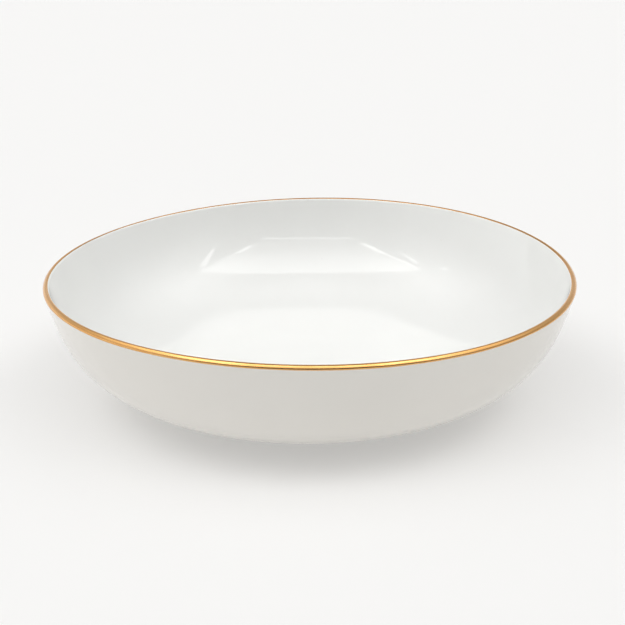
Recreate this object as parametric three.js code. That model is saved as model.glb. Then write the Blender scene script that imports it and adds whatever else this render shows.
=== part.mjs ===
// A shallow coupe serving bowl in glazed porcelain with a gilt rim.
//
// Units are millimetres and +Z is up. The origin is the centre of the foot ring's resting plane.
// The bowl is four bonded layers, each one closed solid:
//   porcelain_body    the fired clay: floor, wall, lip and integral foot ring
//   glaze_coat        clear glaze from the outside of the foot, over the lip, to the floor's centre
//   foot_well_glaze   clear glaze in the well under the foot
//   gilt_rim_band     gold fired onto the glaze along the lip
//
// Every layer follows one section line. It runs along the clay from the axis under the bowl, round
// the foot ring, up the outside, over the lip and down the inside to the axis again. The clay is
// always on the left of that line, so the faces of each coat are offsets to the right of it.
import * as THREE from "three";

const { degToRad } = THREE.MathUtils;

// Driving dimensions of the finished bowl
const RIM_DIAMETER = 260;
const RIM_HEIGHT = 62.5;
const LIP_THICKNESS = 3.3;

// The foot ring, with the well inside it. The wall leaves its outside WALL_START_HEIGHT up.
const FOOT_DIAMETER = 119;
const FOOT_WIDTH = 4.6;
const FOOT_EDGE_ROUND = 0.9;
const FOOT_FILLET = 1.4;
const WELL_DEPTH = 3.4;
const WALL_START_HEIGHT = 3.6;

// The outer wall, a curve that leaves the foot at one slope and reaches the lip at another
const WALL_START_SLOPE = degToRad(6.5);
const WALL_START_REACH = 54;
const LIP_SLOPE = degToRad(75);
const LIP_REACH_OUTSIDE = 28;

// The inside, a curve from the lip to the edge of the flat floor
const LIP_REACH_INSIDE = 29;
const FLOOR_THICKNESS = 4.2;
const FLAT_FLOOR_RADIUS = 40;
const FLOOR_REACH = 67;

// Coats on the clay. BOND_GAP is a clearance where two layers are bonded on the real bowl.
const BOND_GAP = 0.05;
const GLAZE_THICKNESS = 0.25;
const GILT_THICKNESS = 0.1;
const GLAZE_LINE_HEIGHT = 1.3; // the foot is bare below this height

// Kiln warp: the rim rises and falls by WARP_RISE twice round, and the floor and foot stay true
const WARP_RISE = 1.1;
const WARP_BEARING = degToRad(66);
const WARP_ONSET = 1.5;

// Fineness of the solids
const SEGMENTS = 60;
const WALL_STEPS = 8;
const LIP_STEPS = 8;
const GILT_STEPS = 7; // the gold covers this many of the lip's steps, from the outside in
const FILLET_STEPS = 3;
const EDGE_STEPS = 2;

// Offsets of each coat's faces from the clay, and the heights and radii that follow
const GLAZE_UNDERSIDE = BOND_GAP;
const GLAZE_FACE = GLAZE_UNDERSIDE + GLAZE_THICKNESS;
const GILT_UNDERSIDE = GLAZE_FACE + BOND_GAP;
const GILT_FACE = GILT_UNDERSIDE + GILT_THICKNESS;
const FLOOR_HEIGHT = WELL_DEPTH + FLOOR_THICKNESS;
const FOOT_OUTER_RADIUS = FOOT_DIAMETER / 2;
const FOOT_INNER_RADIUS = FOOT_OUTER_RADIUS - FOOT_WIDTH;
const CLAY_LIP_RADIUS = LIP_THICKNESS / 2 - GILT_FACE;
const LIP_CENTRE = new THREE.Vector2((RIM_DIAMETER - LIP_THICKNESS) / 2, RIM_HEIGHT - LIP_THICKNESS / 2);
const LIP_START_ANGLE = LIP_SLOPE - Math.PI / 2;
const LIP_END_ANGLE = LIP_SLOPE + Math.PI / 2;

const porcelain = new THREE.MeshStandardMaterial({ color: 0xf0ede6, roughness: 0.6, metalness: 0 });
const glaze = new THREE.MeshStandardMaterial({ color: 0xf2f3ef, roughness: 0.12, metalness: 0 });
const gilt = new THREE.MeshStandardMaterial({ color: 0xcf9a4e, roughness: 0.22, metalness: 1 });

// The point at an angle and distance from another point
function along(start, angle, distance) {
  return new THREE.Vector2(distance, 0).rotateAround(new THREE.Vector2(), angle).add(start);
}

// Samples of a curve in the section plane, each a point with the unit normal on its right
function sample(curve, steps) {
  const samples = [];
  for (let i = 0; i <= steps; i++) {
    const tangent = curve.getTangent(i / steps);
    samples.push({ point: curve.getPoint(i / steps), normal: new THREE.Vector2(tangent.y, -tangent.x) });
  }
  return samples;
}

function straight(startX, startY, endX, endY) {
  return sample(new THREE.LineCurve(new THREE.Vector2(startX, startY), new THREE.Vector2(endX, endY)), 1);
}

// An arc, counter-clockwise when the end angle is larger than the start angle
function arc(centre, radius, startAngle, endAngle, steps) {
  const clockwise = endAngle < startAngle;
  return sample(
    new THREE.EllipseCurve(centre.x, centre.y, radius, radius, startAngle, endAngle, clockwise),
    steps,
  );
}

// The curve of a wall: it leaves and arrives in the given directions, with a reach along each
function wall(start, startAngle, startReach, end, endAngle, endReach) {
  return sample(
    new THREE.CubicBezierCurve(
      start,
      along(start, startAngle, startReach),
      along(end, endAngle, -endReach),
      end,
    ),
    WALL_STEPS,
  );
}

// The ceiling of the well and the glazed part of the foot ring's inside
function wellStretch() {
  const filletCentre = new THREE.Vector2(FOOT_INNER_RADIUS - FOOT_FILLET, WELL_DEPTH - FOOT_FILLET);
  return [
    ...straight(0, WELL_DEPTH, filletCentre.x, WELL_DEPTH),
    ...arc(filletCentre, FOOT_FILLET, Math.PI / 2, 0, FILLET_STEPS),
    ...straight(FOOT_INNER_RADIUS, filletCentre.y, FOOT_INNER_RADIUS, GLAZE_LINE_HEIGHT),
  ];
}

// The bare edge of the foot ring, rounded on both sides of the flat that it rests on
function footEdgeStretch() {
  const inner = new THREE.Vector2(FOOT_INNER_RADIUS + FOOT_EDGE_ROUND, FOOT_EDGE_ROUND);
  const outer = new THREE.Vector2(FOOT_OUTER_RADIUS - FOOT_EDGE_ROUND, FOOT_EDGE_ROUND);
  return [
    ...arc(inner, FOOT_EDGE_ROUND, Math.PI, 1.5 * Math.PI, EDGE_STEPS),
    ...arc(outer, FOOT_EDGE_ROUND, -Math.PI / 2, 0, EDGE_STEPS),
  ];
}

// The glazed outside, from the glaze line on the foot to where the wall meets the lip
function outsideStretch() {
  const filletEnd = Math.PI / 2 + WALL_START_SLOPE;
  const filletCentre = new THREE.Vector2(
    FOOT_OUTER_RADIUS + FOOT_FILLET,
    WALL_START_HEIGHT - FOOT_FILLET * Math.sin(filletEnd),
  );
  const start = along(filletCentre, filletEnd, FOOT_FILLET);
  const end = along(LIP_CENTRE, LIP_START_ANGLE, CLAY_LIP_RADIUS);
  return [
    ...straight(FOOT_OUTER_RADIUS, GLAZE_LINE_HEIGHT, FOOT_OUTER_RADIUS, filletCentre.y),
    ...arc(filletCentre, FOOT_FILLET, Math.PI, filletEnd, FILLET_STEPS),
    ...wall(start, WALL_START_SLOPE, WALL_START_REACH, end, LIP_SLOPE, LIP_REACH_OUTSIDE),
  ];
}

function lipStretch() {
  return arc(LIP_CENTRE, CLAY_LIP_RADIUS, LIP_START_ANGLE, LIP_END_ANGLE, LIP_STEPS);
}

function insideStretch() {
  const start = along(LIP_CENTRE, LIP_END_ANGLE, CLAY_LIP_RADIUS);
  const end = new THREE.Vector2(FLAT_FLOOR_RADIUS, FLOOR_HEIGHT);
  return [
    ...wall(start, LIP_SLOPE + Math.PI, LIP_REACH_INSIDE, end, Math.PI, FLOOR_REACH),
    ...straight(FLAT_FLOOR_RADIUS, FLOOR_HEIGHT, 0, FLOOR_HEIGHT),
  ];
}

// The points at one offset from a run of samples, with each place where two stretches meet once
function offsetLine(samples, offset) {
  const line = [];
  for (const { point, normal } of samples) {
    const moved = point.clone().addScaledVector(normal, offset);
    if (!line.length || line.at(-1).distanceTo(moved) > BOND_GAP) {
      line.push(moved);
    }
  }
  return line;
}

// The solid of revolution of an outline, warped as the kiln leaves it
function revolve(outline) {
  const geometry = new THREE.LatheGeometry(outline, SEGMENTS).rotateX(Math.PI / 2);
  const position = geometry.getAttribute("position");
  for (let i = 0; i < position.count; i++) {
    const height = position.getZ(i);
    const bearing = Math.atan2(position.getY(i), position.getX(i));
    const share = Math.max(0, height - FLOOR_HEIGHT - GLAZE_FACE) / (RIM_HEIGHT - FLOOR_HEIGHT);
    const rise = WARP_RISE * share ** WARP_ONSET * Math.cos(2 * (bearing - WARP_BEARING));
    position.setZ(i, height + rise);
  }
  geometry.computeVertexNormals();
  return geometry;
}

function porcelainBody() {
  return revolve(
    offsetLine(
      [...wellStretch(), ...footEdgeStretch(), ...outsideStretch(), ...lipStretch(), ...insideStretch()],
      0,
    ),
  );
}

function glazeCoat() {
  const covered = [...outsideStretch(), ...lipStretch(), ...insideStretch()];
  const underside = offsetLine(covered, GLAZE_UNDERSIDE).reverse();
  return revolve([...underside, ...offsetLine(covered, GLAZE_FACE)]);
}

function footWellGlaze() {
  const covered = wellStretch();
  const underside = offsetLine(covered, GLAZE_UNDERSIDE).reverse();
  return revolve([...offsetLine(covered, GLAZE_FACE), ...underside]);
}

function giltRimBand() {
  const covered = lipStretch().slice(0, GILT_STEPS + 1);
  const face = offsetLine(covered, GILT_FACE);
  const underside = offsetLine(covered, GILT_UNDERSIDE).reverse();
  return revolve([...face, ...underside, face[0]]);
}

const bowl = new THREE.Group();

function addLayer(name, geometry, material) {
  const mesh = new THREE.Mesh(geometry, material);
  mesh.name = name;
  bowl.add(mesh);
}

addLayer("porcelain_body", porcelainBody(), porcelain);
addLayer("glaze_coat", glazeCoat(), glaze);
addLayer("foot_well_glaze", footWellGlaze(), glaze);
addLayer("gilt_rim_band", giltRimBand(), gilt);

export default bowl;
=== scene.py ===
"""The looks of a glazed porcelain serving bowl with a gilt rim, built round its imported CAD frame.

Each layer of the bowl follows one section line, which runs along the clay from the axis under the
bowl, round the foot ring, up the outside, over the lip and down the inside to the axis again. The
layers are swept round the axis finely, with the small departures of a hand-finished bowl: a wavy
glaze line on the foot, a brushed gold edge, and a glaze that is not quite flat.
"""

import math

import bpy
import numpy as np
from mathutils import Euler, Matrix, Vector, noise


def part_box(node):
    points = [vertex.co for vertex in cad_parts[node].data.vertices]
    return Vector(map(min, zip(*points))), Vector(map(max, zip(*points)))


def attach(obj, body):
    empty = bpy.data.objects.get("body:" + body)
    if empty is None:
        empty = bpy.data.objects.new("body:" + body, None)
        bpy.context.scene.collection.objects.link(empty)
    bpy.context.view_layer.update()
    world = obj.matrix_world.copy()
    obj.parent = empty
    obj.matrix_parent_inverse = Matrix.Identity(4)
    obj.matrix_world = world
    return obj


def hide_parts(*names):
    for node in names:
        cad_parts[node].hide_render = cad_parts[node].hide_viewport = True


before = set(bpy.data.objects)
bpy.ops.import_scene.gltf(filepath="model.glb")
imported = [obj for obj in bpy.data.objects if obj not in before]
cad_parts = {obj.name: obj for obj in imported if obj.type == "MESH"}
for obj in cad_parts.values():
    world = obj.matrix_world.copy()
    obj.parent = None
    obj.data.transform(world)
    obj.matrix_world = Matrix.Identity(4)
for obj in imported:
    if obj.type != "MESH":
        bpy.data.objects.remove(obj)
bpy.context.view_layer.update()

MM = 0.001

# The finished bowl's driving dimensions, with its outer size taken from the frame
GILT_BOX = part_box("gilt_rim_band")
RIM_RADIUS = GILT_BOX[1].x
WARP_RISE = 1.1 * MM
RIM_HEIGHT = GILT_BOX[1].z - WARP_RISE
LIP_THICKNESS = 3.3 * MM
FOOT_OUTER_RADIUS = 59.5 * MM
FOOT_INNER_RADIUS = FOOT_OUTER_RADIUS - 4.6 * MM
FOOT_EDGE_ROUND = 0.9 * MM
FOOT_FILLET = 1.4 * MM
WELL_DEPTH = 3.4 * MM
WALL_START_HEIGHT = 3.6 * MM
WALL_START_SLOPE = math.radians(6.5)
WALL_START_REACH = 54 * MM
LIP_SLOPE = math.radians(75)
LIP_REACH_OUTSIDE = 28 * MM
LIP_REACH_INSIDE = 29 * MM
FLOOR_HEIGHT = WELL_DEPTH + 4.2 * MM
FLAT_FLOOR_RADIUS = 40 * MM
FLOOR_REACH = 67 * MM
WARP_BEARING = math.radians(66)
WARP_ONSET = 1.5

# The coats of glaze, as offsets of their faces from the clay, and how they end on the foot
GLAZE_FACE = 0.30 * MM
GLAZE_BED = 0.06 * MM
EDGE_BED = -0.02 * MM
GLAZE_LINE_HEIGHT = 1.3 * MM
GLAZE_TAPER = 0.9 * MM
GLAZE_BEAD = 0.12
GLAZE_BEAD_SPREAD = 0.6 * GLAZE_TAPER
EDGE_ZONE = 4 * MM
GLAZE_UNEVENNESS = {30 * MM: 0.03 * MM, 12 * MM: 0.006 * MM}
OUTER_LINE_SEED = 21
OUTER_LINE_WAVES = {2: 0.07 * MM, 5: 0.08 * MM, 11: 0.06 * MM, 23: 0.03 * MM, 47: 0.015 * MM}
WELL_LINE_SEED = 22
WELL_LINE_WAVES = {3: 0.08 * MM, 4: 0.07 * MM, 13: 0.05 * MM, 29: 0.03 * MM}

# The lip, round under its coats but eased flat above and outside, where it was sponged
LIP_OFFSET = 0.45 * MM
CLAY_LIP_RADIUS = LIP_THICKNESS / 2 - LIP_OFFSET
LIP_FLAT_ANGLE = math.radians(42)
LIP_FLAT_SPREAD = math.radians(50)
LIP_FLATNESS = 0.11
LIP_CENTRE = np.array([RIM_RADIUS - LIP_THICKNESS / 2, RIM_HEIGHT - LIP_THICKNESS / 2])
LIP_START_ANGLE = LIP_SLOPE - math.pi / 2
LIP_END_ANGLE = LIP_SLOPE + math.pi / 2

# The gold on the lip, from just outside it to some way down the inside, where it is widest on
# one side of the bowl
GILT_WIDTH = CLAY_LIP_RADIUS * math.radians(142)
GILT_SWING = CLAY_LIP_RADIUS * math.radians(7)
GILT_WIDEST_BEARING = math.radians(-30)
GILT_FILM = 0.035 * MM
GILT_BED = -0.02 * MM
GILT_SINK = 0.02 * MM
GILT_TAPER = 0.12 * MM
GILT_OUTER_SEED = 11
GILT_OUTER_WAVES = {2: 0.05 * MM, 5: 0.04 * MM, 14: 0.025 * MM, 41: 0.012 * MM, 97: 0.006 * MM}
GILT_INNER_SEED = 12
GILT_INNER_WAVES = {3: 0.04 * MM, 9: 0.03 * MM, 26: 0.015 * MM, 71: 0.008 * MM}

# Fineness of the meshes: steps along each stretch of the section line and across the coats' edges
# and the gold, and segments round the axis
WELL_CEILING_STEPS = 14
WELL_SIDE_STEPS = 4
FOOT_EDGE_STEPS = 8
FOOT_FLAT_STEPS = 4
FOOT_SIDE_STEPS = 6
FILLET_STEPS = 8
OUTER_WALL_STEPS = 44
LIP_STEPS = 40
INNER_WALL_STEPS = 52
FLAT_FLOOR_STEPS = 12
EDGE_STEPS = 26
EDGE_PACKING = 1.3
GILT_STEPS = 30
BODY_SEGMENTS = 288
GILT_SEGMENTS = 720
FLOOR_SEGMENTS = 96

# Camera, solved for the photographed view
CAMERA_PLACE = Vector((1.2 * MM, -702.1 * MM, 293.7 * MM))
CAMERA_PITCH = 0.3472
CAMERA_ROLL = 0.0084
CAMERA_LENS = 86.4

# Colours, linear
GLAZE_WHITE = (0.885, 0.888, 0.868)
GLAZE_GREY = (0.868, 0.872, 0.85)
# Outside the bowl the glaze colours are painted shade: darker and warmer than the inside whites, for
# the shade on the outer wall
OUTSIDE_GLAZE_PAINTED_SHADE = (0.832, 0.811, 0.766)
OUTSIDE_GLAZE_PAINTED_SHADE_CLOUD = (0.817, 0.795, 0.748)
GLAZE_SPECK = (0.83, 0.825, 0.80)
BISQUE_CREAM = (0.80, 0.76, 0.68)
BISQUE_GREY = (0.72, 0.69, 0.63)
BISQUE_SCUFF = (0.50, 0.48, 0.45)
GOLD_LIGHT = (0.80, 0.47, 0.18)
GOLD_DEEP = (0.72, 0.36, 0.11)

# Surface detail: the size of each pattern and the depth of its relief. Only the peaks of a noise
# above the start of a window show, and fully from its end on.
TINT_SIZE = 45 * MM
SPECK_SIZE = 1.4 * MM
SPECK_WINDOW = (0.73, 0.79)
GLAZE_IOR = 1.58
GLAZE_GLOSS_SIZE = 28 * MM
GLAZE_ROUGHNESS = (0.02, 0.045)
PEEL_SIZE = 3.2 * MM
PEEL_DEPTH = 0.0025 * MM
PINHOLE_SIZE = 1.1 * MM
PINHOLE_WINDOW = (0.76, 0.82)
PINHOLE_DEPTH = 0.01 * MM
BISQUE_STAIN_SIZE = 9 * MM
SCUFF_SIZE = 2.2 * MM
SCUFF_WINDOW = (0.56, 0.70)
SCUFF_STRENGTH = 0.6
BISQUE_GLOSS_SIZE = 3 * MM
BISQUE_ROUGHNESS = (0.62, 0.86)
GRAIN_SIZE = 0.35 * MM
GRAIN_DEPTH = 0.03 * MM
BRUSH_WIDTH = 0.22 * MM
BRUSH_STRETCH = 0.02
BRUSH_DEPTH = 0.004 * MM
GOLD_PATCH_SIZE = 7 * MM
GOLD_ROUGHNESS = (0.12, 0.20)
GOLD_BRUSHED_ROUGHNESS = 0.26

# The studio. Brightnesses are radiances on the scale where white paper reads 1. Each wall is given
# at the elevations in WALL_ELEVATIONS, and the ceiling is at the last of them.
WALL_ELEVATIONS = [math.radians(angle) for angle in (0, 18, 36, 56, 76)]
CEILING = 0.53
BACK_WALL = (0.9, 0.75, 0.25, 0.08, CEILING)
FRONT_WALL = (0.1, 0.0, 0.0, 0.72, CEILING)
LEFT_WALL = (1.4, 0.62, 1.15, 2.0, CEILING)
RIGHT_WALL = (0.5, 0.35, 1.1, 2.0, CEILING)
# A softbox hangs overhead on the camera's side, tilted up towards it, and a window is high behind
# the bowl. Their edges are reaches to the side and to the back for each unit of height.
SOFTBOX_TILT = 0.185
SOFTBOX_SIDES = (-0.85, 0.82)
SOFTBOX_REACHES = (-1.78, -1.2, -0.8, -0.45, -0.145)
SOFTBOX_LIGHT = (0.45, 0.5, 0.8, 1.45, 2.0)
SOFTBOX_BLUR = 0.008
WINDOW_SIDES = (-0.14, 0.19)
WINDOW_REACHES = (0.8, 1.4)
WINDOW_LIGHT = 0.7
WINDOW_BLUR = 0.06
# Narrow bright strips round the softbox: how far each leans to the side, its edges and its light
STRIPS = (
    (0.0, (-0.8, 0.84), (-1.86, -1.7), 1.8),
    (0.0, (-0.85, -0.74), (-1.35, -0.75), 3.0),
    (0.0, (-0.85, -0.8), (-0.75, -0.28), 1.2),
    (-0.36, (-0.87, -0.79), (-0.75, -0.33), 2.2),
    (0.0, (-1.22, -1.1), (-0.1, -0.02), 3.0),
    (0.0, (0.76, 0.84), (-1.25, -0.85), 3.4),
    (0.0, (0.79, 0.83), (-0.85, -0.5), 1.2),
    (0.64, (0.665, 0.76), (-0.95, -0.3), 2.2),
)
STRIP_BLUR = 0.01
LOWEST_LIGHT = 0.05  # below this height the lights' reaches would grow without end
# A pale floor, lit a little from below except on the camera's side of the bowl
FLOOR_SIZE = 6.0
FLOOR_DROP = 0.02 * MM
FLOOR_WHITE = (0.61, 0.605, 0.595)
FLOOR_GLOW = 0.29
FLOOR_GLOW_EDGE = (-0.9, -0.2)


# Section line ------------------------------------------------------------------------------------


def heading(angle):
    return np.array([math.cos(angle), math.sin(angle)])


def straight(start, end, steps):
    t = np.linspace(0, 1, steps + 1)[:, None]
    return np.asarray(start) * (1 - t) + np.asarray(end) * t


def arc(centre, radius, start_angle, end_angle, steps):
    angles = np.linspace(start_angle, end_angle, steps + 1)
    return np.asarray(centre) + radius * np.stack([np.cos(angles), np.sin(angles)], axis=1)


def wall(start, start_angle, start_reach, end, end_angle, end_reach, steps):
    """A curve that leaves and arrives in the given directions, with a reach along each."""
    t = np.linspace(0, 1, steps + 1)[:, None]
    leaving = start + start_reach * heading(start_angle)
    arriving = end - end_reach * heading(end_angle)
    return (
        (1 - t) ** 3 * start
        + 3 * (1 - t) ** 2 * t * leaving
        + 3 * (1 - t) * t**2 * arriving
        + t**3 * end
    )


def join(*stretches):
    """One line from several stretches, with the point where two of them meet kept once."""
    return np.concatenate([stretches[0]] + [s[1:] for s in stretches[1:]])


def well_line():
    """The ceiling of the well under the foot, and the ring's inside down to its rounded edge."""
    centre = np.array([FOOT_INNER_RADIUS - FOOT_FILLET, WELL_DEPTH - FOOT_FILLET])
    return join(
        straight((0, WELL_DEPTH), (centre[0], WELL_DEPTH), WELL_CEILING_STEPS),
        arc(centre, FOOT_FILLET, math.pi / 2, 0, FILLET_STEPS),
        straight(
            (FOOT_INNER_RADIUS, centre[1]), (FOOT_INNER_RADIUS, FOOT_EDGE_ROUND), WELL_SIDE_STEPS
        ),
    )


def foot_edge_line():
    inner = (FOOT_INNER_RADIUS + FOOT_EDGE_ROUND, FOOT_EDGE_ROUND)
    outer = (FOOT_OUTER_RADIUS - FOOT_EDGE_ROUND, FOOT_EDGE_ROUND)
    return join(
        arc(inner, FOOT_EDGE_ROUND, math.pi, 1.5 * math.pi, FOOT_EDGE_STEPS),
        straight((inner[0], 0), (outer[0], 0), FOOT_FLAT_STEPS),
        arc(outer, FOOT_EDGE_ROUND, -math.pi / 2, 0, FOOT_EDGE_STEPS),
    )


def outside_line():
    """From the foot's rounded edge up the ring's outside and the wall to the lip."""
    fillet_end = math.pi / 2 + WALL_START_SLOPE
    centre = np.array(
        [FOOT_OUTER_RADIUS + FOOT_FILLET, WALL_START_HEIGHT - FOOT_FILLET * math.sin(fillet_end)]
    )
    start = centre + FOOT_FILLET * heading(fillet_end)
    end = LIP_CENTRE + CLAY_LIP_RADIUS * heading(LIP_START_ANGLE)
    return join(
        straight(
            (FOOT_OUTER_RADIUS, FOOT_EDGE_ROUND), (FOOT_OUTER_RADIUS, centre[1]), FOOT_SIDE_STEPS
        ),
        arc(centre, FOOT_FILLET, math.pi, fillet_end, FILLET_STEPS),
        wall(
            start,
            WALL_START_SLOPE,
            WALL_START_REACH,
            end,
            LIP_SLOPE,
            LIP_REACH_OUTSIDE,
            OUTER_WALL_STEPS,
        ),
    )


def lip_line():
    """Over the lip from outside to inside, round apart from where it is eased flat."""
    round_line = arc(LIP_CENTRE, CLAY_LIP_RADIUS, LIP_START_ANGLE, LIP_END_ANGLE, LIP_STEPS)
    angle = np.linspace(LIP_START_ANGLE, LIP_END_ANGLE, LIP_STEPS + 1)
    away = np.clip((angle - LIP_FLAT_ANGLE) / LIP_FLAT_SPREAD, -1, 1)
    eased = LIP_FLATNESS * np.cos(away * math.pi / 2) ** 2
    return LIP_CENTRE + (round_line - LIP_CENTRE) * (1 - eased)[:, None]


def inside_line():
    """From the lip down the inside to the centre of the floor."""
    start = LIP_CENTRE + CLAY_LIP_RADIUS * heading(LIP_END_ANGLE)
    end = np.array([FLAT_FLOOR_RADIUS, FLOOR_HEIGHT])
    return join(
        wall(
            start,
            LIP_SLOPE + math.pi,
            LIP_REACH_INSIDE,
            end,
            math.pi,
            FLOOR_REACH,
            INNER_WALL_STEPS,
        ),
        straight(end, (0, FLOOR_HEIGHT), FLAT_FLOOR_STEPS),
    )


def lengths(line):
    """The distance along a line of each of its points."""
    return np.concatenate([[0], np.cumsum(np.linalg.norm(np.diff(line, axis=0), axis=1))])


def outward(line):
    """Unit normals on the right of a line, away from the clay."""
    tangent = np.gradient(line, lengths(line), axis=0)
    tangent /= np.linalg.norm(tangent, axis=1)[:, None]
    return np.stack([tangent[:, 1], -tangent[:, 0]], axis=1)


def at_lengths(line, s):
    """Points of a line at distances along it, and the normals there."""
    known = lengths(line)
    normals = outward(line)
    point = np.stack([np.interp(s, known, line[:, k]) for k in (0, 1)], axis=-1)
    normal = np.stack([np.interp(s, known, normals[:, k]) for k in (0, 1)], axis=-1)
    return point, normal / np.linalg.norm(normal, axis=-1, keepdims=True)


# Sweeping a section round the axis ---------------------------------------------------------------


def bearings(segments):
    """The bearing of each swept column, as a column vector."""
    return np.arange(segments)[:, None] * 2 * math.pi / segments


def warp(height, bearing):
    """How far the kiln raised a point, twice round the rim and not at all on the floor."""
    share = np.clip(height - FLOOR_HEIGHT - GLAZE_FACE, 0, None) / (RIM_HEIGHT - FLOOR_HEIGHT)
    return WARP_RISE * share**WARP_ONSET * np.cos(2 * (bearing - WARP_BEARING))


def in_space(outline, bearing):
    """Section points, each a radius and a height, carried round to a bearing and warped."""
    radius, height = outline[..., 0], outline[..., 1]
    return np.stack(
        [radius * np.cos(bearing), radius * np.sin(bearing), height + warp(height, bearing)], axis=-1
    )


def swept_piece(name, outline, along, ring=False):
    """A closed mesh from one outline for each bearing, with the material on the outline's left.

    A ring's outline closes on itself, and any other outline starts and ends on the axis. A point
    attribute holds the distance along the section, which the materials use, the gold for its
    brushwork.
    """
    segments, count = outline.shape[:2]
    points = in_space(outline, bearings(segments))
    along = np.broadcast_to(along, (segments, count))
    first, last = (0, count) if ring else (1, count - 1)
    height = last - first
    vertices = points[:, first:last].reshape(-1, 3).tolist()
    distance = along[:, first:last].reshape(-1).tolist()
    faces = []
    for i in range(segments):
        near = i * height
        far = (i + 1) % segments * height
        for j in range(height if ring else height - 1):
            k = (j + 1) % height
            faces.append((near + j, far + j, far + k, near + k))
    if not ring:
        start_pole = len(vertices)
        end_pole = start_pole + 1
        vertices += [points[0, 0].tolist(), points[0, -1].tolist()]
        distance += [along[0, 0], along[0, -1]]
        for i in range(segments):
            near = i * height
            far = (i + 1) % segments * height
            faces.append((start_pole, far, near))
            faces.append((near + height - 1, far + height - 1, end_pole))
    mesh = bpy.data.meshes.new(name)
    mesh.from_pydata(vertices, [], faces)
    mesh.polygons.foreach_set("use_smooth", [True] * len(mesh.polygons))
    section = mesh.attributes.new("along_section", "FLOAT", "POINT")
    section.data.foreach_set("value", distance)
    mesh.update()
    piece = bpy.data.objects.new(name, mesh)
    bpy.context.scene.collection.objects.link(piece)
    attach(piece, "root")
    return piece


# The layers ----------------------------------------------------------------------------------------

STRETCHES = [well_line(), foot_edge_line(), outside_line(), lip_line(), inside_line()]
SECTION = join(*STRETCHES)
SECTION_LENGTHS = lengths(SECTION)
WELL_END, FOOT_END, OUTSIDE_END, _, SECTION_END = np.cumsum(
    [lengths(stretch)[-1] for stretch in STRETCHES]
)
BARE_STRIP = GLAZE_LINE_HEIGHT - FOOT_EDGE_ROUND


def waves(bearing, seed, sizes):
    """A smooth wandering round the bowl: for each number of waves a turn, how large they are."""
    draw = np.random.default_rng(seed)
    total = np.zeros_like(bearing)
    for count, size in sizes.items():
        total += size * np.cos(count * bearing + draw.uniform(0, 2 * math.pi))
    return total


def section_points(distance, offset):
    """The points an offset away from the clay, at distances along its section line."""
    point, normal = at_lengths(SECTION, distance)
    return point + normal * np.asarray(offset)[..., None]


def glaze_face(distance, bearing):
    """How far the glaze's face is from the clay, which is never quite even on a dipped bowl."""
    distance, bearing = np.broadcast_arrays(distance, bearing)
    point, _ = at_lengths(SECTION, distance)
    spots = in_space(point, bearing)
    uneven = np.array(
        [
            sum(size * noise.noise(Vector(spot) / scale) for scale, size in GLAZE_UNEVENNESS.items())
            for spot in spots.reshape(-1, 3).tolist()
        ]
    )
    return GLAZE_FACE + uneven.reshape(distance.shape)


def coat_edge(inset):
    """A coat's share of its full thickness near its edge, rounded off like a bead of glaze."""
    share = np.clip(inset / GLAZE_TAPER, 0, 1)
    bead = GLAZE_BEAD * np.exp(-(((inset - GLAZE_TAPER) / GLAZE_BEAD_SPREAD) ** 2))
    return np.sqrt(1 - (1 - share) ** 2) + bead


def clay_body():
    piece = swept_piece(
        "fired_clay_body",
        np.broadcast_to(SECTION, (BODY_SEGMENTS,) + SECTION.shape),
        SECTION_LENGTHS,
    )
    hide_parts("porcelain_body")
    return piece


def coat(name, node, line_at, axis_at, wander):
    """A coat of glaze from its wavy edge on the foot ring to the bowl's axis."""
    turn = bearings(BODY_SEGMENTS)
    way = math.copysign(1, axis_at - line_at)
    inset = np.abs(SECTION_LENGTHS - line_at)[(SECTION_LENGTHS - line_at) * way > EDGE_ZONE]
    edge = EDGE_ZONE * np.linspace(0, 1, EDGE_STEPS + 1) ** EDGE_PACKING
    inset = np.concatenate([edge, np.sort(inset)])
    fade = np.clip(1 - inset / EDGE_ZONE, 0, 1)
    distance = line_at + way * (inset + wander(turn) * fade)
    thickness = glaze_face(distance, turn) * coat_edge(inset)
    face = section_points(distance, np.where(inset > 0, thickness, EDGE_BED))
    under = section_points(distance, np.where(inset > GLAZE_TAPER / 2, GLAZE_BED, EDGE_BED))
    under = under[:, 1:]
    if way > 0:
        outline = np.concatenate([under[:, ::-1], face], axis=1)
        along = np.concatenate([distance[:, :0:-1], distance], axis=1)
    else:
        outline = np.concatenate([face[:, ::-1], under], axis=1)
        along = np.concatenate([distance[:, ::-1], distance[:, 1:]], axis=1)
    piece = swept_piece(name, outline, along)
    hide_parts(node)
    return piece


def gilt_band():
    """The brushed gold, a thin band over the lip whose edges wander a little."""
    turn = bearings(GILT_SEGMENTS)
    outer = OUTSIDE_END + waves(turn, GILT_OUTER_SEED, GILT_OUTER_WAVES)
    width = GILT_WIDTH + GILT_SWING * np.cos(turn - GILT_WIDEST_BEARING)
    inner = OUTSIDE_END + width + waves(turn, GILT_INNER_SEED, GILT_INNER_WAVES)
    share = np.linspace(0, 1, GILT_STEPS + 1)
    distance = outer + (inner - outer) * share
    inset = np.minimum(distance - outer, inner - distance)
    glaze = glaze_face(distance, turn)
    film = GILT_BED + (GILT_FILM - GILT_BED) * np.sqrt(np.clip(inset / GILT_TAPER, 0, 1))
    face = section_points(distance, glaze + film)
    under = section_points(distance, glaze + GILT_BED - GILT_SINK)[:, ::-1]
    outline = np.concatenate([face, under], axis=1)
    along = np.concatenate([distance, distance[:, ::-1]], axis=1)
    piece = swept_piece("gilt_band", outline, along, ring=True)
    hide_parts("gilt_rim_band")
    return piece


# Materials -----------------------------------------------------------------------------------------


def add_node(tree, kind, inputs=None, **settings):
    """A node with its settings, and inputs given as values or as the sockets to link from."""
    node = tree.nodes.new("ShaderNode" + kind)
    for name, value in settings.items():
        setattr(node, name, value)
    for name, value in (inputs or {}).items():
        if isinstance(value, bpy.types.NodeSocket):
            tree.links.new(value, node.inputs[name])
        else:
            node.inputs[name].default_value = value
    return node


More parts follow.
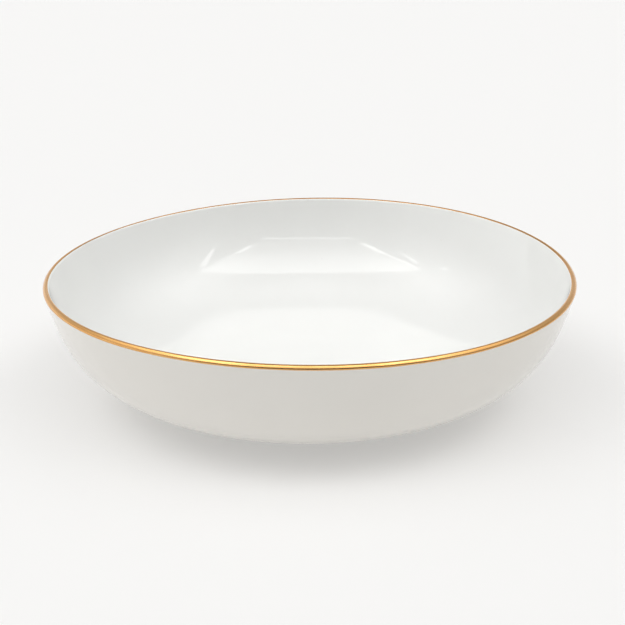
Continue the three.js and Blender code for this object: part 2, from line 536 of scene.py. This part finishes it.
def arithmetic(tree, operation, *values):
    return add_node(tree, "Math", dict(enumerate(values)), operation=operation).outputs[0]


def object_position(tree):
    return add_node(tree, "TexCoord").outputs["Object"]


def section_distance(tree):
    return add_node(tree, "Attribute", attribute_name="along_section").outputs["Fac"]


def rise(tree, value, start, end):
    """From 0 to 1 as a value passes from a start to an end, eased at both."""
    return add_node(
        tree,
        "MapRange",
        {"Value": value, "From Min": start, "From Max": end},
        interpolation_type="SMOOTHSTEP",
    ).outputs["Result"]


def new_material(name, **inputs):
    """A material, its node tree and its shader, with the shader's inputs set."""
    material = bpy.data.materials.new(name)
    material.use_nodes = True
    shader = material.node_tree.nodes["Principled BSDF"]
    for socket, value in inputs.items():
        shader.inputs[socket.replace("_", " ")].default_value = value
    return material, material.node_tree, shader


def cloudy(tree, position, scale, low, high, detail=2.0, window=(0.3, 0.7)):
    """Soft noise of a size in metres, spread from a low value to a high one."""
    field = add_node(tree, "TexNoise", {"Vector": position, "Scale": 1 / scale, "Detail": detail})
    spread = add_node(
        tree,
        "MapRange",
        {
            "Value": field.outputs["Fac"],
            "From Min": window[0],
            "From Max": window[1],
            "To Min": low,
            "To Max": high,
        },
    )
    return spread.outputs["Result"]


def blend_colours(tree, share, first, second):
    """A mix of two colours. The Mix node has sockets of the same names for numbers, vectors and
    colours, so its colour sockets are taken by their places.
    """
    mix = add_node(tree, "Mix", {"Factor": share}, data_type="RGBA")
    for socket, colour in ((mix.inputs[6], first), (mix.inputs[7], second)):
        if isinstance(colour, bpy.types.NodeSocket):
            tree.links.new(colour, socket)
        else:
            socket.default_value = (*colour, 1)
    return mix.outputs[2]


def relief(tree, shader, height, depth, beneath=None):
    """Bump of a depth in metres, over another bump where one is given."""
    inputs = {"Height": height, "Distance": depth}
    if beneath is not None:
        inputs["Normal"] = beneath
    bump = add_node(tree, "Bump", inputs)
    tree.links.new(bump.outputs["Normal"], shader.inputs["Normal"])
    return bump.outputs["Normal"]


def glaze_material():
    """Clear glaze on white porcelain, coloured a little darker and warmer outside the bowl than
    inside it: painted shade for the outer wall.

    It has faint cloudiness, a very slight orange-peel skin and a few pinholes.
    """
    material, tree, shader = new_material("glaze_on_porcelain", IOR=GLAZE_IOR)
    position = object_position(tree)
    # 0 outside the lip, where the colour is painted shade, and 1 inside, where it is the glaze's own
    # white
    inside = rise(tree, section_distance(tree), OUTSIDE_END, OUTSIDE_END + GILT_WIDTH / 2)
    tint = cloudy(tree, position, TINT_SIZE, 0.0, 1.0)
    colour = blend_colours(
        tree,
        inside,
        blend_colours(tree, tint, OUTSIDE_GLAZE_PAINTED_SHADE, OUTSIDE_GLAZE_PAINTED_SHADE_CLOUD),
        blend_colours(tree, tint, GLAZE_WHITE, GLAZE_GREY),
    )
    specks = cloudy(tree, position, SPECK_SIZE, 0.0, 1.0, window=SPECK_WINDOW)
    colour = blend_colours(tree, specks, colour, GLAZE_SPECK)
    tree.links.new(colour, shader.inputs["Base Color"])
    roughness = cloudy(tree, position, GLAZE_GLOSS_SIZE, *GLAZE_ROUGHNESS, detail=4.0)
    tree.links.new(roughness, shader.inputs["Roughness"])
    skin = cloudy(tree, position, PEEL_SIZE, 0.0, 1.0, window=(0.0, 1.0))
    peel = relief(tree, shader, skin, PEEL_DEPTH)
    pinholes = cloudy(tree, position, PINHOLE_SIZE, 1.0, 0.0, window=PINHOLE_WINDOW)
    relief(tree, shader, pinholes, PINHOLE_DEPTH, peel)
    return material


def bisque_material():
    """Bare fired clay on the foot: a fine dry grain, a little grey where it has been slid about."""
    material, tree, shader = new_material("bare_porcelain_clay")
    position = object_position(tree)
    stains = cloudy(tree, position, BISQUE_STAIN_SIZE, 0.0, 1.0, detail=5.0)
    colour = blend_colours(tree, stains, BISQUE_CREAM, BISQUE_GREY)
    scuffs = cloudy(
        tree, position, SCUFF_SIZE, 0.0, SCUFF_STRENGTH, detail=6.0, window=SCUFF_WINDOW
    )
    colour = blend_colours(tree, scuffs, colour, BISQUE_SCUFF)
    tree.links.new(colour, shader.inputs["Base Color"])
    roughness = cloudy(tree, position, BISQUE_GLOSS_SIZE, *BISQUE_ROUGHNESS, detail=4.0)
    tree.links.new(roughness, shader.inputs["Roughness"])
    grain = cloudy(tree, position, GRAIN_SIZE, 0.0, 1.0, detail=3.0)
    relief(tree, shader, grain, GRAIN_DEPTH)
    return material


def gilt_material():
    """Fired gold: brush lines that run round the rim, each a little redder and duller."""
    material, tree, shader = new_material("fired_gold", Metallic=1.0)
    position = object_position(tree)
    place = add_node(tree, "SeparateXYZ", {"Vector": position})
    brushed = add_node(
        tree,
        "CombineXYZ",
        {
            "X": arithmetic(tree, "MULTIPLY", place.outputs["X"], BRUSH_STRETCH),
            "Y": arithmetic(tree, "MULTIPLY", place.outputs["Y"], BRUSH_STRETCH),
            "Z": section_distance(tree),
        },
    ).outputs["Vector"]
    strokes = cloudy(tree, brushed, BRUSH_WIDTH, 0.0, 1.0, detail=3.0)
    colour = blend_colours(tree, strokes, GOLD_LIGHT, GOLD_DEEP)
    tree.links.new(colour, shader.inputs["Base Color"])
    patches = cloudy(tree, position, GOLD_PATCH_SIZE, *GOLD_ROUGHNESS, detail=4.0)
    roughness = add_node(
        tree,
        "MapRange",
        {"Value": strokes, "To Min": patches, "To Max": GOLD_BRUSHED_ROUGHNESS},
    ).outputs["Result"]
    tree.links.new(roughness, shader.inputs["Roughness"])
    relief(tree, shader, strokes, BRUSH_DEPTH)
    return material


# Studio --------------------------------------------------------------------------------------------


def studio_floor():
    """A pale floor whose glow from below fades out on the camera's side of the bowl."""
    mesh = bpy.data.meshes.new("studio_floor")
    turn = np.linspace(0, 2 * math.pi, FLOOR_SEGMENTS, endpoint=False)
    rim = np.stack([np.cos(turn), np.sin(turn), np.zeros_like(turn)], axis=1) * FLOOR_SIZE
    mesh.from_pydata((rim - (0, 0, FLOOR_DROP)).tolist(), [], [tuple(range(len(rim)))])
    floor = bpy.data.objects.new("studio_floor", mesh)
    bpy.context.scene.collection.objects.link(floor)
    material, tree, shader = new_material("pale_floor", Roughness=1.0, Specular_IOR_Level=0.0)
    shader.inputs["Base Color"].default_value = (*FLOOR_WHITE, 1)
    shader.inputs["Emission Color"].default_value = (1, 1, 1, 1)
    place = add_node(tree, "SeparateXYZ", {"Vector": object_position(tree)})
    lit = rise(tree, place.outputs["Y"], *FLOOR_GLOW_EDGE)
    glow = arithmetic(tree, "MULTIPLY", lit, FLOOR_GLOW)
    tree.links.new(glow, shader.inputs["Emission Strength"])
    mesh.materials.append(material)


def stepped(tree, value, places, levels):
    """The level at a value, on straight lines between the levels at a few places."""
    total = levels[0]
    for start, end, low, high in zip(places, places[1:], levels, levels[1:]):
        share = add_node(
            tree, "MapRange", {"Value": value, "From Min": start, "From Max": end}
        ).outputs["Result"]
        total = arithmetic(tree, "MULTIPLY_ADD", share, high - low, total)
    return total


def pane(tree, across, along, sides, reaches, blur):
    """1 within the sides and reaches of a light and 0 outside them, with soft borders."""
    inside = 1.0
    for value, low, high in ((across, *sides), (along, reaches[0], reaches[-1])):
        for start, end in ((low - blur, low + blur), (high + blur, high - blur)):
            inside = arithmetic(tree, "MULTIPLY", inside, rise(tree, value, start, end))
    return inside


def studio_world():
    """Soft walls of different brightness all round, with a softbox and a window above them."""
    world = bpy.data.worlds.new("studio")
    world.use_nodes = True
    tree = world.node_tree
    way = add_node(
        tree, "SeparateXYZ", {"Vector": add_node(tree, "TexCoord").outputs["Generated"]}
    )
    x, y, z = way.outputs
    level_squared = arithmetic(
        tree, "ADD", arithmetic(tree, "POWER", x, 2.0), arithmetic(tree, "POWER", y, 2.0)
    )
    elevation = arithmetic(tree, "ARCSINE", z)
    total = 0.0
    for side, towards, wall_light in (
        (y, 1.0, BACK_WALL),
        (y, -1.0, FRONT_WALL),
        (x, -1.0, LEFT_WALL),
        (x, 1.0, RIGHT_WALL),
    ):
        facing = arithmetic(tree, "MAXIMUM", arithmetic(tree, "MULTIPLY", side, towards), 0.0)
        facing_squared = arithmetic(tree, "POWER", facing, 2.0)
        share = arithmetic(tree, "DIVIDE", facing_squared, level_squared)
        light = stepped(tree, elevation, WALL_ELEVATIONS, wall_light)
        total = arithmetic(tree, "MULTIPLY_ADD", share, light, total)

    height = arithmetic(tree, "MULTIPLY_ADD", y, SOFTBOX_TILT, z)
    height = arithmetic(tree, "MAXIMUM", height, LOWEST_LIGHT)
    across = arithmetic(tree, "DIVIDE", x, height)
    along = arithmetic(tree, "DIVIDE", y, height)
    softbox = pane(tree, across, along, SOFTBOX_SIDES, SOFTBOX_REACHES, SOFTBOX_BLUR)
    light = stepped(tree, along, SOFTBOX_REACHES, SOFTBOX_LIGHT)
    total = arithmetic(tree, "MULTIPLY_ADD", softbox, light, total)
    for lean, sides, reaches, light in STRIPS:
        leaning = arithmetic(tree, "MULTIPLY_ADD", along, lean, across)
        strip = pane(tree, leaning, along, sides, reaches, STRIP_BLUR)
        total = arithmetic(tree, "MULTIPLY_ADD", strip, light, total)

    height = arithmetic(tree, "MAXIMUM", z, LOWEST_LIGHT)
    across = arithmetic(tree, "DIVIDE", x, height)
    along = arithmetic(tree, "DIVIDE", y, height)
    window = pane(tree, across, along, WINDOW_SIDES, WINDOW_REACHES, WINDOW_BLUR)
    total = arithmetic(tree, "MULTIPLY_ADD", window, WINDOW_LIGHT, total)
    background = tree.nodes["Background"]
    background.inputs["Color"].default_value = (1, 1, 1, 1)
    tree.links.new(total, background.inputs["Strength"])
    bpy.context.scene.world = world


def studio_camera():
    camera = bpy.data.objects.new("camera", bpy.data.cameras.new("camera"))
    camera.data.lens = CAMERA_LENS
    turn = Euler((math.pi / 2 - CAMERA_PITCH, 0, 0)).to_matrix().to_4x4()
    camera.matrix_world = (
        Matrix.Translation(CAMERA_PLACE) @ turn @ Matrix.Rotation(-CAMERA_ROLL, 4, "Z")
    )
    bpy.context.scene.collection.objects.link(camera)
    bpy.context.scene.camera = camera


glaze = glaze_material()
layers = {
    clay_body(): bisque_material(),
    coat(
        "bowl_glaze",
        "glaze_coat",
        FOOT_END + BARE_STRIP,
        SECTION_END,
        lambda turn: waves(turn, OUTER_LINE_SEED, OUTER_LINE_WAVES),
    ): glaze,
    coat(
        "foot_well_glaze_coat",
        "foot_well_glaze",
        WELL_END - BARE_STRIP,
        0,
        lambda turn: waves(turn, WELL_LINE_SEED, WELL_LINE_WAVES),
    ): glaze,
    gilt_band(): gilt_material(),
}
for piece, material in layers.items():
    piece.data.materials.append(material)

studio_floor()
studio_world()
studio_camera()
bpy.context.scene.view_settings.view_transform = "Standard"
